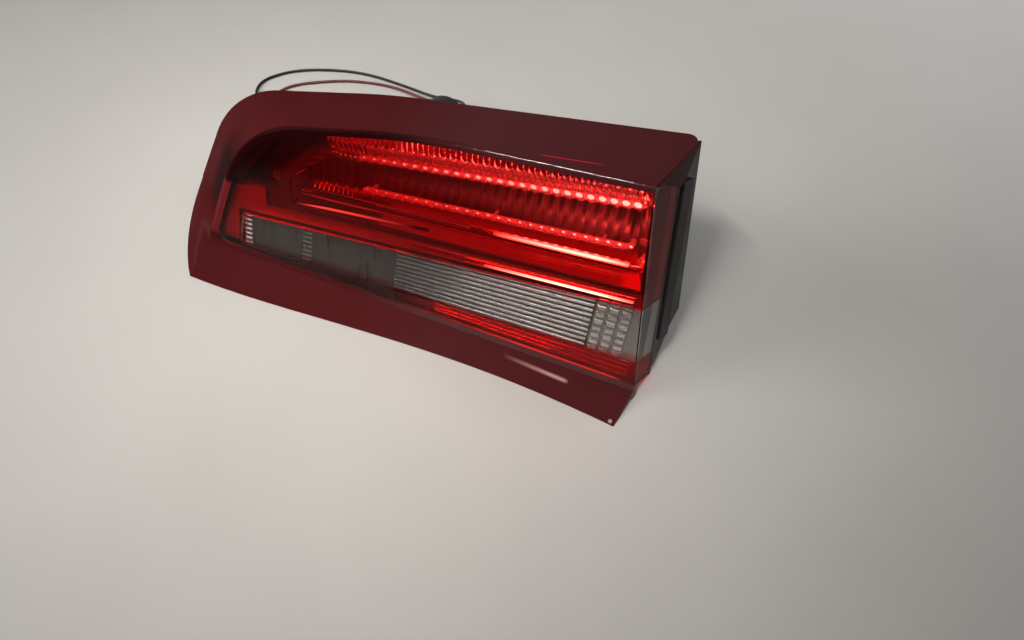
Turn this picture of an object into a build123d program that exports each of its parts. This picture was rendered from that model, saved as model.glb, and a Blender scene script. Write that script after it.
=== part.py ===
from build123d import *
from math import cos, radians, sin, tan
import os

# Tail light cluster standing on a table, on the lip of its lens and on the rear bulge.
# All sizes in millimetres. X runs along the lamp, Y to its back, Z up.
# Depth is counted from the outer face of the window, square to it and into the lamp.

# Stance
lean = 26.1
lip_reach = 17
window_x = 28.8
window_y = -60.3

# Lens
lens_wall = 3.0
window_wall = 3.0
return_wall = 2.0
return_depth = 26
return_foot_depth = 17
crease_r = 2.2
corner_r = 6.0
lip_v = 14.0
lip_sunk = 0.6
flange_depth = 45
end_u = 127.6
end_slant = 0.1664
end_sweep = 0.3386

# Housing
shell_gap = 5.0
shell_wall = 2.2
shell_front = 9.0
flange_thick = 3.0
sill_v = 44
bulge_depth = 90
bulge_wall = 2.5
bulge_draft = 5
end_gap = 1.0
lens_clear = 0.3
end_wall = 1.0
flange_inset = 2.0
outlet_u = -42
outlet_v = 100
outlet_r = 14
outlet_run = 28
outlet_hole_r = 5.0
spigot_r = 3.5
spigot_length = 5.0
vent_bore_r = 2.0
vent_u = 32
vent_v = 86
pillar_r = 4.0
stud_boss_r = 7.0
stud_boss = 6.0

# Inner frame and tail lamp
bezel_front = 7.0
bezel_foot_v = 14.5
pocket_floor = 17.5
pocket_wall = 1.6
screw_u = -113.5
screw_v = 66.5
screw_r = 1.5
screw_shaft = 10.0
screw_head_r = 3.0
screw_head_thick = 2.5
tray_back = 17.5
tray_wall = 1.4
tray_clear = 0.3
tray_rim = 2.5
tray_rim_thick = 1.2
flute_fine = 3.1
flute_coarse = 6.2
fine_sag = 0.5
coarse_sag = 0.9
step_r = 3.2
step_sunk = 1.9
guide_r = 1.8
guide_depth = 9.6
guide_bend_r = 4.0
post_r = 1.0
pip_r = 1.7
pip_rise = 1.3
pip_count = 26
led_u = 98
led_v = 104
led_board_depth = 23.2
led_board_thick = 1.2
led_thick = 1.2
led_side = 3.6

# Reverse lamp
panel_depth = 5.0
panel_gap = 0.4
panel_bead_r = 0.8
panel_step_r = 2.2
panel_step_sunk = 0.8
optic_thick = 1.2
box_back = 12.0
box_wall = 1.5
rib_r = 1.2
rib_count = 10
pillow_rise = 1.0
strip_board_thick = 1.6
strip_led_thick = 1.2

# Rear fittings
board_lift = 5.9
board_rise = 22
board_thick = 1.6
board_length = 88
board_width = 38
standoff_r = 3.2
board_screw_r = 1.3
board_head_r = 2.4
board_head_thick = 1.6
board_screw_shaft = 6.0
stud_r = 3.0
stud_pcd = 218
stud_mid_u = -13
stud_v = 80
stud_length = 16
stud_collar_r = 6.5
stud_collar_thick = 2.0
stud_root = 3.0
gasket_thick = 5.0
gasket_width = 7.0
sealant_width = 4.0
end_gasket_out = 1.2
vent_r = 6.0
vent_length = 7.0
boot_r = 9.0
boot_plate = 2.0
boot_length = 14.0
boot_end_r = 5.0
wire_r = 0.95
wire_apart = 5.0
plug_length = 22
plug_width = 11
plug_height = 6
plug_wires = 4.4

os.makedirs("parts", exist_ok=True)

tilt = radians(lean)
window = Plane(
    origin=(window_x, window_y, -lip_reach * sin(tilt)),
    x_dir=(1, 0, 0),
    z_dir=(0, -cos(tilt), sin(tilt)),
)
side = Plane(origin=window.origin, x_dir=window.z_dir, z_dir=(-1, 0, 0))


def depth(value):
    return window.offset(-value)


def at(u, v, d):
    return window.from_local_coords(Vector(u, v, -d))


def end_at(v, d):
    return at(end_u - end_slant * v + end_sweep * d, v, d)


end_normal = (window.x_dir + window.y_dir * end_slant + window.z_dir * end_sweep).normalized()
end_plane = Plane(origin=end_at(0, 0), x_dir=-window.z_dir, z_dir=end_normal)


def on_end(v, d):
    flat = end_plane.to_local_coords(end_at(v, d))
    return (flat.X, flat.Y)


def table_v(w):
    return (lip_reach - w) * tan(tilt)


# Outlines of the lens skirt: at the crease round the window, and at the rear flange
crease = [(160, -5), (160, 138.5), (-22, 123), (-128.2, 97.9), (-158.8, -5)]
crease_rounds = [((-22, 123), 350), ((-128.2, 97.9), 65)]
flange = [(175, -30), (175, 158.1), (-60, 122.2), (-166.5, 96.7), (-214, -30)]
flange_rounds = [((-60, 122.2), 400), ((-166.5, 96.7), 65)]

opening = [(160, 17.2), (160, 134.8), (-22, 119.4), (-125.2, 95), (-148.3, 17.2)]
opening_rounds = [((-22, 119.4), 350), ((-125.2, 95), 62), ((-148.3, 17.2), 7)]
strip = [(-130.5, 20.1), (150, 32.3), (150, 68.1), (-128.5, 41.3)]

# Lip and lower left flank as cross-sections along the lamp, each by its distance back and its height
lip_tips = [(-153, -19), (-56.5, -15.4), (40, -11.7), (121, -16.5), (150, -20)]
lip_inside = [(45, 0), (45, 34)]
flank_cuts = [
    (-171.5, [(7, 0), (58, 0), (58, 22), (26, 9.5)]),
    (-190, [(51, 0), (72, 0), (72, 12), (60, 4)]),
]

# Hollow under the lip seen from the end
lip_groove = [(11, -20), (11, 3.2), (0.5, 10.4), (0.5, -20)]

# Underside of the housing seen from the end, as window height against depth
belly = [(0, 13.5), (-8, 13.5), (-23, 21.5), (-36, 40), (-46, 48.5)]


def section(plane, corners, rounds=(), inset=0):
    with BuildSketch(plane) as drawn:
        with BuildLine():
            Polyline(*corners, close=True)
        make_face()
        for corner, radius in rounds:
            fillet(drawn.vertices().sort_by_distance((*corner, 0))[0], radius)
        if inset:
            offset(amount=-inset, kind=Kind.INTERSECTION)
    return drawn.sketch


def skirt(inset, front, back, gap):
    with BuildPart() as body:
        near = section(depth(0), crease, crease_rounds, inset)
        far = section(depth(flange_depth), flange, flange_rounds, inset)
        loft((near, far), ruled=True)
        if front > 0:
            split(bisect_by=depth(front), keep=Keep.BOTTOM)
        if back < flange_depth:
            split(bisect_by=depth(back), keep=Keep.TOP)
        split(bisect_by=end_plane.offset(-gap), keep=Keep.BOTTOM)
        split(bisect_by=Plane.XY, keep=Keep.TOP)
    return body.part


def above_belly(rise):
    lifted = [(w, v + rise) for w, v in belly]
    with BuildPart() as body:
        extrude(section(side, [*lifted, (-46, 170), (0, 170)]), amount=260, both=True)
    return body.part


# Lens: burgundy skirt, and the lip that runs from the crease down to the table
def across(u, corners):
    plane = Plane((window_x + u, window_y, 0), x_dir=(0, 1, 0), z_dir=(1, 0, 0))
    return section(plane, corners)


under_crease = at(0, lip_v, lip_sunk)
lip_crest = (under_crease.Y - window_y, under_crease.Z)
with BuildPart() as lip:
    stations = [across(u, [(tip, 0), *lip_inside, lip_crest]) for u, tip in lip_tips]
    loft(stations)
    loft((stations[0], *[across(u, corners) for u, corners in flank_cuts]))
    split(bisect_by=depth(flange_depth), keep=Keep.TOP)
    split(bisect_by=end_plane, keep=Keep.BOTTOM)
    extrude(section(side, lip_groove), amount=140, both=True, mode=Mode.SUBTRACT)

with BuildPart() as lens_body:
    add(skirt(0, 0, flange_depth, 0))
    outward = Axis(window.origin, window.z_dir)
    back_end = lens_body.faces().sort_by(outward)[0].edges().sort_by(Axis.X)[-1]
    fillet(back_end, corner_r)
    rim = lens_body.faces().sort_by(outward)[-1].edges()
    fillet(rim.filter_by(lambda e: e.center().Z > 5).sort_by(Axis.X)[:-1], crease_r)

with BuildPart() as lens_band:
    add(lens_body.part)
    add(lip.part)
    add(skirt(lens_wall, window_wall, flange_depth, -5), mode=Mode.SUBTRACT)
    extrude(section(depth(0), opening, opening_rounds), amount=-window_wall, mode=Mode.SUBTRACT)
lens_band.part.label = "lens_band"
export_step(lens_band.part, "parts/lens_band.step")

# Lens: red window and clear strip, both with a wall round the right end
pane_foot = Plane(at(0, opening[0][1], 0), x_dir=(1, 0, 0), z_dir=window.y_dir)
return_rise = opening[1][1] - opening[0][1]
return_slant = return_depth - return_foot_depth
return_cut = Plane(
    origin=at(0, opening[0][1], return_foot_depth),
    x_dir=(1, 0, 0),
    z_dir=-window.y_dir * return_slant - window.z_dir * return_rise,
)
with BuildPart() as pane_end:
    add(skirt(lens_wall, window_wall, flange_depth, 0))
    add(skirt(0, 0, flange_depth, return_wall), mode=Mode.SUBTRACT)
    split(bisect_by=pane_foot, keep=Keep.TOP)
    split(bisect_by=return_cut, keep=Keep.BOTTOM)
with BuildPart() as pane:
    extrude(section(depth(0), opening, opening_rounds), amount=-window_wall)
    split(bisect_by=end_plane, keep=Keep.BOTTOM)
    add(pane_end.part)
with BuildPart() as strip_bar:
    extrude(section(depth(0), strip), amount=-return_depth)

with BuildPart() as window_lens:
    add(pane.part)
    add(strip_bar.part, mode=Mode.SUBTRACT)
window_lens.part.label = "window_lens"
export_step(window_lens.part, "parts/window_lens.step")

with BuildPart() as reverse_lens:
    add(pane.part)
    add(strip_bar.part, mode=Mode.INTERSECT)
reverse_lens.part.label = "reverse_lens"
export_step(reverse_lens.part, "parts/reverse_lens.step")

# Housing: bucket, flange, rear bulge, bosses, standoffs and cable outlet
sill = Plane(origin=at(0, sill_v, 0), x_dir=(1, 0, 0), z_dir=window.y_dir)
bulge_foot = table_v(-bulge_depth)
bulge = [(66, bulge_foot), (66, 120), (-95, 96), (-95, bulge_foot)]
bulge_rounds = [((66, bulge_foot), 8), ((66, 120), 12), ((-95, 96), 12), ((-95, bulge_foot), 8)]
board_mid_v = bulge_foot + board_rise
board_depth = bulge_depth - bulge_wall - board_lift - board_thick
board_points = [(u, board_mid_v + v) for u in (-55, 15) for v in (-14, 14)]
stud_points = [(stud_mid_u - stud_pcd / 2, stud_v), (stud_mid_u + stud_pcd / 2, stud_v)]


def rod(u, v, r, d_front, d_back):
    with BuildPart() as body:
        with BuildSketch(depth(d_back)):
            with Locations((u, v)):
                Circle(r)
        extrude(amount=d_back - d_front)
    return body.part


def block(u, v, length, width, d_front, d_back, turn=0):
    with BuildPart() as body:
        with BuildSketch(depth(d_back)):
            with Locations((u, v)):
                Rectangle(length, width, rotation=turn)
        extrude(amount=d_back - d_front)
    return body.part


inner_end = return_wall + lens_clear
with BuildPart() as bucket_hollow:
    add(skirt(shell_gap + shell_wall, window_wall, flange_depth, inner_end + end_wall))
    add(above_belly(shell_wall), mode=Mode.INTERSECT)

with BuildPart() as end_block:
    add(skirt(shell_gap, shell_front, flange_depth, end_gap))
    split(bisect_by=return_cut, keep=Keep.TOP)

with BuildPart() as flange_plate:
    extrude(section(depth(flange_depth), flange, flange_rounds, flange_inset), amount=-flange_thick)
    split(bisect_by=end_plane.offset(-corner_r), keep=Keep.BOTTOM)
    split(bisect_by=sill, keep=Keep.TOP)

with BuildPart() as housing:
    add(skirt(shell_gap, shell_front, flange_depth, inner_end))
    add(end_block.part)
    add(above_belly(0), mode=Mode.INTERSECT)
    add(bucket_hollow.part, mode=Mode.SUBTRACT)
    add(flange_plate.part)
    bulge_run = bulge_depth - flange_depth
    extrude(section(depth(bulge_depth), bulge, bulge_rounds), amount=bulge_run, taper=-bulge_draft)
    add(rod(outlet_u, outlet_v, outlet_r, bulge_depth - outlet_run, bulge_depth))
    inner = section(depth(bulge_depth - bulge_wall), bulge, bulge_rounds, bulge_wall)
    extrude(inner, amount=bulge_run, taper=-bulge_draft, mode=Mode.SUBTRACT)
    bore_front = bulge_depth - outlet_run + bulge_wall
    bore_back = bulge_depth - bulge_wall
    add(rod(outlet_u, outlet_v, outlet_r - bulge_wall, bore_front, bore_back), mode=Mode.SUBTRACT)
    add(rod(outlet_u, outlet_v, outlet_hole_r, bore_back, bulge_depth), mode=Mode.SUBTRACT)
    for u, v in board_points:
        add(rod(u, v, standoff_r, board_depth + board_thick, bore_back))
        add(rod(u, v, board_screw_r, board_depth, bore_back - 1), mode=Mode.SUBTRACT)
    for u, v in stud_points:
        add(rod(u, v, stud_boss_r, flange_depth - stud_boss, flange_depth))
        add(rod(u, v, stud_r, flange_depth - stud_root, flange_depth + flange_thick), mode=Mode.SUBTRACT)
    add(rod(screw_u, screw_v, pillar_r, pocket_floor + pocket_wall, flange_depth))
    pillar_hole = pocket_floor + screw_shaft
    add(rod(screw_u, screw_v, screw_r, pocket_floor, pillar_hole), mode=Mode.SUBTRACT)
    add(rod(led_u, led_v, pillar_r, led_board_depth + led_board_thick, flange_depth))
    led_hole = led_board_depth + led_board_thick + board_screw_shaft
    add(rod(led_u, led_v, board_screw_r, led_board_depth, led_hole), mode=Mode.SUBTRACT)
    add(rod(vent_u, vent_v, spigot_r, bulge_depth, bulge_depth + spigot_length))
    add(rod(vent_u, vent_v, vent_bore_r, bore_back, bulge_depth + spigot_length), mode=Mode.SUBTRACT)
housing.part.label = "housing"
export_step(housing.part, "parts/housing.step")

# Bead of sealant between the lens skirt and the bucket
with BuildPart() as lens_sealant:
    add(skirt(lens_wall, flange_depth - sealant_width, flange_depth, end_gap))
    add(above_belly(0), mode=Mode.INTERSECT)
    add(skirt(shell_gap, window_wall, flange_depth, -end_gap), mode=Mode.SUBTRACT)
lens_sealant.part.label = "lens_sealant"
export_step(lens_sealant.part, "parts/lens_sealant.step")

# Foam strip on the back of the flange, open along the bottom
gasket = [(131, 49), (117, 144), (-60, 117.5), (-160, 93.5), (-174, 49)]
gasket_rounds = [((117, 144), 8), ((-60, 117.5), 300), ((-160, 93.5), 55)]
with BuildPart() as rear_gasket:
    seat = depth(flange_depth + flange_thick)
    extrude(section(seat, gasket, gasket_rounds), amount=-gasket_thick)
    hollow = section(seat, gasket, gasket_rounds, gasket_width)
    extrude(hollow, amount=-gasket_thick, mode=Mode.SUBTRACT)
    split(bisect_by=sill.offset(2 * gasket_width), keep=Keep.TOP)
rear_gasket.part.label = "rear_gasket"
export_step(rear_gasket.part, "parts/rear_gasket.step")

# Rubber strip on the end wall
with BuildPart() as end_gasket:
    strip_corners = [on_end(38, 21), on_end(38, 30), on_end(129, 37), on_end(129, 28)]
    end_seat = end_plane.offset(-end_gap)
    extrude(section(end_seat, strip_corners), amount=end_gap + end_gasket_out)
end_gasket.part.label = "end_gasket"
export_step(end_gasket.part, "parts/end_gasket.step")

# Inner frame: a plate on the rim of the bucket with a pocket for its screw
mouth = [(-75, 102.8), (-100.4, 70.3), (-98.8, 55), (112.5, 71.6), (104.6, 128.3)]
recess = [(-80, 86.7), (-93, 77.5), (-92, 70.8), (103.5, 90.8), (100.5, 111.4)]
pocket = [(-83, 100.5), (-110, 91.5), (-126, 72), (-131.5, 61), (-106, 61), (-107, 71)]
box = [(-122, 40), (112, 62), (113, 31), (-122, 20.5)]
with BuildPart() as bezel:
    add(skirt(shell_gap, bezel_front, shell_front, inner_end))
    split(bisect_by=Plane(at(0, bezel_foot_v, 0), x_dir=(1, 0, 0), z_dir=window.y_dir), keep=Keep.TOP)
    pocket_back = pocket_floor + pocket_wall
    extrude(section(depth(pocket_back), pocket, (), -pocket_wall), amount=pocket_back - shell_front)
    extrude(section(depth(pocket_floor), pocket), amount=pocket_floor, mode=Mode.SUBTRACT)
    extrude(section(depth(shell_front), mouth), amount=shell_front, mode=Mode.SUBTRACT)
    extrude(section(depth(shell_front), box, (), -box_wall), amount=shell_front, mode=Mode.SUBTRACT)
    add(rod(screw_u, screw_v, screw_r, pocket_floor, pocket_back), mode=Mode.SUBTRACT)
bezel.part.label = "bezel"
export_step(bezel.part, "parts/bezel.step")

with BuildPart() as bezel_screw:
    add(rod(screw_u, screw_v, screw_head_r, pocket_floor - screw_head_thick, pocket_floor))
    add(rod(screw_u, screw_v, screw_r, pocket_floor, pocket_floor + screw_shaft))
    head_front = pocket_floor - screw_head_thick
    for turn in (20, 110):
        add(block(screw_u, screw_v, 3.6, 0.9, head_front, head_front + 1.3, turn), mode=Mode.SUBTRACT)
bezel_screw.part.label = "bezel_screw"
export_step(bezel_screw.part, "parts/bezel_screw.step")


def fluted(plane, length, pitch, sag, base, run):
    count = round(length / pitch)
    with BuildPart() as body:
        with BuildSketch(plane):
            with BuildLine():
                ridges = [(0, 0)]
                for i in range(count):
                    ridges += [((i + 0.3) * pitch, sag), ((i + 0.7) * pitch, sag), ((i + 1) * pitch, 0)]
                Polyline(*ridges, (count * pitch, -base), (0, -base), close=True)
            make_face()
        extrude(amount=run)
    return body.part


def bar_between(start, stop, r):
    with BuildPart() as body:
        with BuildSketch(Plane(start, z_dir=stop - start)):
            Circle(r)
        extrude(amount=(stop - start).length)
    return body.part


def on_guide(line, f):
    (u0, v0), (u1, v1) = line
    return (u0 + (u1 - u0) * f, v0 + (v1 - v0) * f)


# Light guides: a rod that bends back to its lamp, front pips, and three posts into the trough
upper_line = [(-55.1, 97.0), (98.5, 117.7)]
lower_line = [(-52.2, 78.5), (100.8, 94.1)]
guide_foot = led_board_depth - led_thick
pip_base = guide_depth - 0.6
pip_height = guide_r - 0.6 + pip_rise


def light_guide(line):
    start = at(*line[0], guide_depth)
    corner = at(*line[1], guide_depth)
    foot = at(*line[1], guide_foot)
    with BuildPart() as body:
        with BuildLine() as path:
            FilletPolyline(start, corner, foot, radius=guide_bend_r)
        with BuildSketch(Plane(start, z_dir=path.line % 0)):
            RegularPolygon(guide_r, 8)
        sweep(transition=Transition.RIGHT)
        with BuildSketch(depth(pip_base)):
            with Locations(*[on_guide(line, i / (pip_count - 0.4)) for i in range(pip_count)]):
                RegularPolygon(pip_r, 8)
        extrude(amount=pip_height, taper=14)
        for f in (0.02, 0.5, 0.9):
            add(rod(*on_guide(line, f), post_r, guide_depth, tray_back + tray_wall))
    return body.part


with BuildPart() as upper_light_guide:
    add(light_guide(upper_line))
upper_light_guide.part.label = "upper_light_guide"
export_step(upper_light_guide.part, "parts/upper_light_guide.step")

with BuildPart() as lower_light_guide:
    add(light_guide(lower_line))
lower_light_guide.part.label = "lower_light_guide"
export_step(lower_light_guide.part, "parts/lower_light_guide.step")

# Trough of the tail lamp: fine flutes down its upper slope and along the foot of its back wall,
# coarse ones on the back wall, and a rounded step along its lower slope
with BuildPart() as tray_hollow:
    loft((section(depth(shell_front), mouth), section(depth(tray_back), recess)), ruled=True)
with BuildPart() as tray_body:
    outer_mouth = section(depth(shell_front), mouth, (), -tray_wall)
    outer_recess = section(depth(tray_back + tray_wall), recess, (), -tray_wall)
    loft((outer_mouth, outer_recess), ruled=True)

slope_top = at(*mouth[0], shell_front)
slope_along = (at(*mouth[4], shell_front) - slope_top).normalized()
slope_down = at(*recess[0], tray_back) - slope_top
slope_down = (slope_down - slope_along * slope_down.dot(slope_along)).normalized()
fine_plane = Plane(slope_top - slope_down * 4, x_dir=slope_along, z_dir=slope_down)
sill_along = (at(*mouth[3], shell_front) - at(*mouth[2], shell_front)).normalized()
sill_up = at(*recess[2], tray_back) - at(*mouth[2], shell_front)
sill_up = (sill_up - sill_along * sill_up.dot(sill_along)).normalized()
sill_plane = Plane(at(*recess[2], tray_back) + sill_up * 2, x_dir=sill_along, z_dir=-sill_up)
coarse_plane = Plane(at(recess[1][0], 120, tray_back), x_dir=window.x_dir, z_dir=-window.y_dir)


def on_lower_slope(side_index, f):
    low = at(*mouth[side_index], shell_front)
    return low + (at(*recess[side_index], tray_back) - low) * f


with BuildPart() as tray_relief:
    add(fluted(fine_plane, 180, flute_fine, fine_sag, tray_wall / 2, 24))
    add(fluted(coarse_plane, 194, flute_coarse, coarse_sag, tray_wall / 2, 60))
    add(fluted(sill_plane, 190, flute_fine, fine_sag, tray_wall / 2, 7.4))
    sunk = sill_plane.y_dir * step_sunk
    add(bar_between(on_lower_slope(2, 0.5) - sunk, on_lower_slope(3, 0.5) - sunk, step_r))
    add(tray_body.part, mode=Mode.INTERSECT)

tray_gap = shell_gap + shell_wall + tray_clear
tray_end_gap = inner_end + end_wall + tray_clear
with BuildPart() as tail_reflector:
    rim_back = shell_front + tray_rim_thick
    extrude(section(depth(rim_back), mouth, (), -tray_rim), amount=tray_rim_thick)
    add(tray_body.part)
    add(tray_hollow.part, mode=Mode.SUBTRACT)
    add(tray_relief.part)
    add(skirt(tray_gap, window_wall, flange_depth, tray_end_gap), mode=Mode.INTERSECT)
    add(upper_light_guide.part, mode=Mode.SUBTRACT)
    add(lower_light_guide.part, mode=Mode.SUBTRACT)
tail_reflector.part.label = "tail_reflector"
export_step(tail_reflector.part, "parts/tail_reflector.step")

# Board and LED packages at the feet of the light guides
board_back = led_board_depth + led_board_thick
with BuildPart() as tail_led_board:
    add(block(led_u, led_v, 13, 38, led_board_depth, board_back))
    add(rod(led_u, led_v, board_screw_r, led_board_depth, board_back), mode=Mode.SUBTRACT)
tail_led_board.part.label = "tail_led_board"
export_step(tail_led_board.part, "parts/tail_led_board.step")

with BuildPart() as tail_leds:
    for line in (upper_line, lower_line):
        add(block(*line[1], led_side, led_side, guide_foot, led_board_depth))
tail_leds.part.label = "tail_leds"
export_step(tail_leds.part, "parts/tail_leds.step")

# Reverse lamp: bright panel with a box behind it, and the ribbed optic let into the panel
panel = [(-140.5, 56.7), (-115.3, 61.2), (-114, 49.7), (119, 70.6), (127, 14.8), (-150, 14.8)]
optic = [(-133.5, 42.0), (117, 65.5), (125, 28.5), (-134.5, 17.8)]
panel_end = end_plane.offset(-return_wall - panel_gap)
optic_back = panel_depth + optic_thick


def below_strip(u, f):
    low = opening[0][1]
    high = optic[3][1] + (u - optic[3][0]) * (optic[2][1] - optic[3][1]) / (optic[2][0] - optic[3][0])
    return at(u, low + (high - low) * f, panel_depth)


panel_step_depth = panel_depth + panel_step_sunk
with BuildPart() as panel_step:
    add(bar_between(at(-20, 55.5, panel_step_depth), at(112, 66.9, panel_step_depth), panel_step_r))
    split(bisect_by=depth(bezel_front), keep=Keep.TOP)

with BuildPart() as reverse_reflector:
    extrude(section(depth(bezel_front), panel), amount=bezel_front - panel_depth)
    split(bisect_by=panel_end, keep=Keep.BOTTOM)
    for f in (0.2, 0.5, 0.8):
        add(bar_between(below_strip(0, f), below_strip(118, f), panel_bead_r))
    add(panel_step.part)
    extrude(section(depth(box_back), box, (), -box_wall), amount=box_back - bezel_front)
    extrude(section(depth(box_back), box), amount=box_back, mode=Mode.SUBTRACT)
    extrude(section(depth(optic_back), optic), amount=optic_back, mode=Mode.SUBTRACT)
reverse_reflector.part.label = "reverse_reflector"
export_step(reverse_reflector.part, "parts/reverse_reflector.step")


def strip_v(u, f):
    low = optic[3][1] + (u - optic[3][0]) * (optic[2][1] - optic[3][1]) / (optic[2][0] - optic[3][0])
    high = optic[0][1] + (u - optic[0][0]) * (optic[1][1] - optic[0][1]) / (optic[1][0] - optic[0][0])
    return low + (high - low) * f


with BuildPart() as reverse_optic:
    extrude(section(depth(optic_back), optic), amount=optic_thick)
    split(bisect_by=panel_end, keep=Keep.BOTTOM)
    for i in range(rib_count):
        f = (i + 1) / (rib_count + 1)
        add(bar_between(at(-27, strip_v(-27, f), 4.9), at(91, strip_v(91, f), 4.9), rib_r))
    with BuildSketch(depth(panel_depth)):
        with Locations(*[(u, strip_v(u, (i + 0.6) / 8.2)) for u in (95.5, 102.5, 109.5) for i in range(8)]):
            Rectangle(6, 3.6, rotation=5)
    extrude(amount=pillow_rise, taper=35)
    with BuildSketch(depth(panel_depth)):
        with Locations(*[(-126.5, strip_v(-126.5, (i + 0.9) / 7.8)) for i in range(7)]):
            Rectangle(5.5, 2.2, rotation=5)
    extrude(amount=pillow_rise, taper=25)
    with BuildSketch(depth(panel_depth)):
        with Locations(*[(-86, strip_v(-86, (i + 0.9) / 8.8)) for i in range(8)]):
            Rectangle(6, 1.2, rotation=5)
    extrude(amount=0.4)
reverse_optic.part.label = "reverse_optic"
export_step(reverse_optic.part, "parts/reverse_optic.step")

with BuildPart() as reverse_led_board:
    strip_back = box_back + strip_board_thick
    extrude(section(depth(strip_back), box, (), -box_wall), amount=strip_board_thick)
reverse_led_board.part.label = "reverse_led_board"
export_step(reverse_led_board.part, "parts/reverse_led_board.step")

with BuildPart() as reverse_leds:
    for u in (-70, 0, 70):
        add(block(u, strip_v(u, 0.5), led_side, led_side, box_back - strip_led_thick, box_back))
reverse_leds.part.label = "reverse_leds"
export_step(reverse_leds.part, "parts/reverse_leds.step")

# Driver board in the bulge, its parts and screws
driver_back = board_depth + board_thick
with BuildPart() as driver_board:
    add(block(-20, board_mid_v, board_length, board_width, board_depth, driver_back))
    for u, v in board_points:
        add(rod(u, v, board_screw_r, board_depth, driver_back), mode=Mode.SUBTRACT)
driver_board.part.label = "driver_board"
export_step(driver_board.part, "parts/driver_board.step")

with BuildPart() as driver_parts:
    add(rod(-36, board_mid_v - 4, 6, board_depth - 7, board_depth))
    add(rod(-4, board_mid_v + 8, 4.5, board_depth - 9, board_depth))
    add(block(-14, board_mid_v - 9, 10, 8, board_depth - 2, board_depth))
    add(block(8, board_mid_v - 1, 7, 5, board_depth - 1.8, board_depth))
    add(block(-52, board_mid_v, 7, 13, board_depth - 8, board_depth))
driver_parts.part.label = "driver_parts"
export_step(driver_parts.part, "parts/driver_parts.step")


def board_screw(u, v, seat_depth):
    with BuildPart() as body:
        add(rod(u, v, board_head_r, seat_depth - board_head_thick, seat_depth))
        add(rod(u, v, board_screw_r, seat_depth, seat_depth + board_screw_shaft))
    return body.part


with BuildPart() as board_screws:
    for u, v in board_points:
        add(board_screw(u, v, board_depth))
    add(board_screw(led_u, led_v, led_board_depth))
board_screws.part.label = "board_screws"
export_step(board_screws.part, "parts/board_screws.step")

# Studs, breather and boot on the back
with BuildPart() as mounting_studs:
    stud_seat = flange_depth + flange_thick
    for u, v in stud_points:
        add(rod(u, v, stud_r, flange_depth - stud_root, stud_seat + stud_length))
        add(rod(u, v, stud_collar_r, stud_seat, stud_seat + stud_collar_thick))
mounting_studs.part.label = "mounting_studs"
export_step(mounting_studs.part, "parts/mounting_studs.step")

with BuildPart() as vent_cap:
    add(rod(vent_u, vent_v, vent_r, bulge_depth, bulge_depth + vent_length))
    add(rod(vent_u, vent_v, spigot_r, bulge_depth, bulge_depth + spigot_length), mode=Mode.SUBTRACT)
vent_cap.part.label = "vent_cap"
export_step(vent_cap.part, "parts/vent_cap.step")

with BuildPart() as wire_boot:
    add(rod(outlet_u, outlet_v, outlet_hole_r, bore_back - 1, bulge_depth))
    add(rod(outlet_u, outlet_v, boot_r, bulge_depth, bulge_depth + boot_plate))
    with BuildSketch(depth(bulge_depth + boot_length)):
        with Locations((outlet_u, outlet_v)):
            Circle(boot_end_r)
    extrude(amount=boot_length - boot_plate, taper=-7)
wire_boot.part.label = "wire_boot"
export_step(wire_boot.part, "parts/wire_boot.step")


# Leads: out of the boot, down to the table behind the lamp, round and back to the connector
plug_along = Vector(0.45, -0.893, 0).normalized()
plug_across = Vector(plug_along.Y, -plug_along.X, 0)
plug_middle = Vector(window_x - 174, window_y + 98, 0)
plug_mouth = plug_middle - plug_along * (plug_length / 2) + Vector(0, 0, plug_height / 2)
run_out = -window.z_dir * 16
run_in = plug_along * 14


def lead_route(offset_u, offset_plug, table_points):
    start = at(outlet_u + offset_u, outlet_v, bulge_depth + boot_length)
    stop = plug_mouth + plug_across * offset_plug
    between = [Vector(window_x + x, window_y + y, z) for x, y, z in table_points]
    return [start, start + run_out, *between, stop - run_in, stop]


def bend_radii(route):
    radii = []
    for before, here, after in zip(route, route[1:], route[2:]):
        turn = radians((here - before).get_angle(after - here))
        shorter = min((here - before).length, (after - here).length)
        radii.append(0.45 * shorter / tan(turn / 2))
    return radii


def lead(route, name):
    radii = bend_radii(route)
    with BuildPart() as body:
        with BuildLine() as path:
            FilletPolyline(*route, radius=radii)
        with BuildSketch(Plane(route[0], z_dir=path.line % 0)):
            Circle(wire_r)
        sweep()
    print(name, "length", round(path.wires()[0].length, 1), "smallest bend", round(min(radii), 1))
    return body.part


black_table = [
    (-53, 168, 15),
    (-76, 176, 2.5),
    (-104, 180, 1),
    (-136, 181, 1),
    (-166, 173, 1),
    (-190, 160.5, 1),
    (-204, 141, 1),
]
red_table = [
    (-58, 163.5, 15),
    (-80, 171, 2.5),
    (-108, 176.5, 1),
    (-138, 171.5, 1),
    (-163, 160, 1),
    (-180, 148.5, 1),
    (-186, 135, 1),
]
with BuildPart() as black_wire:
    add(lead(lead_route(wire_apart / 2, plug_wires / 2, black_table), "black_wire"))
black_wire.part.label = "black_wire"
export_step(black_wire.part, "parts/black_wire.step")

with BuildPart() as red_wire:
    add(lead(lead_route(-wire_apart / 2, -plug_wires / 2, red_table), "red_wire"))
red_wire.part.label = "red_wire"
export_step(red_wire.part, "parts/red_wire.step")

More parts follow.
